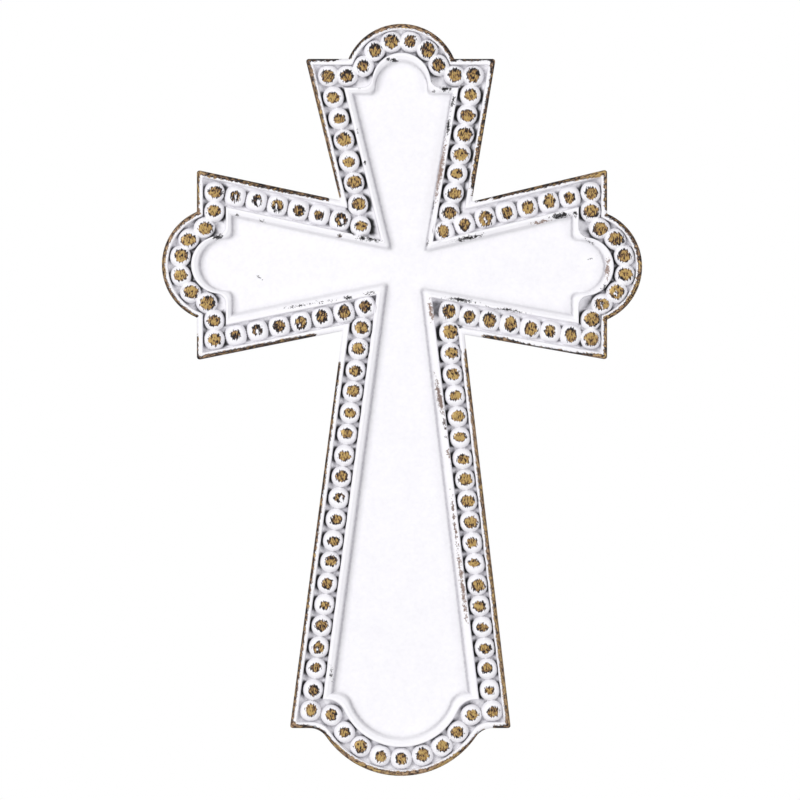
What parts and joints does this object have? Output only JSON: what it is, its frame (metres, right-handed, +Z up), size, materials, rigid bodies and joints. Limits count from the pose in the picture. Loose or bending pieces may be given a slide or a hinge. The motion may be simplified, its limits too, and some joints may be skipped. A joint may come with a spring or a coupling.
{
  "type": "wall cross",
  "caption": "Cast resin wall cross with flared arms, round lobes, a beaded border and a sunken smooth field, in distressed white paint.",
  "frame": {"origin": "on the flat back, where the middle lines of the four arms cross", "axes": "+Z up along the upper arm, +X to the right as the front is seen, front facing -Y, wall side +Y"},
  "size_m": [0.2032, 0.0135, 0.3181],
  "materials": {
    "distressed_paint": "matt white paint, rubbed through to gold and dark brown on the bead tops and along the outer edge"
  },
  "bodies": {
    "root": {"cross": "distressed_paint"}
  },
  "joints": []
}
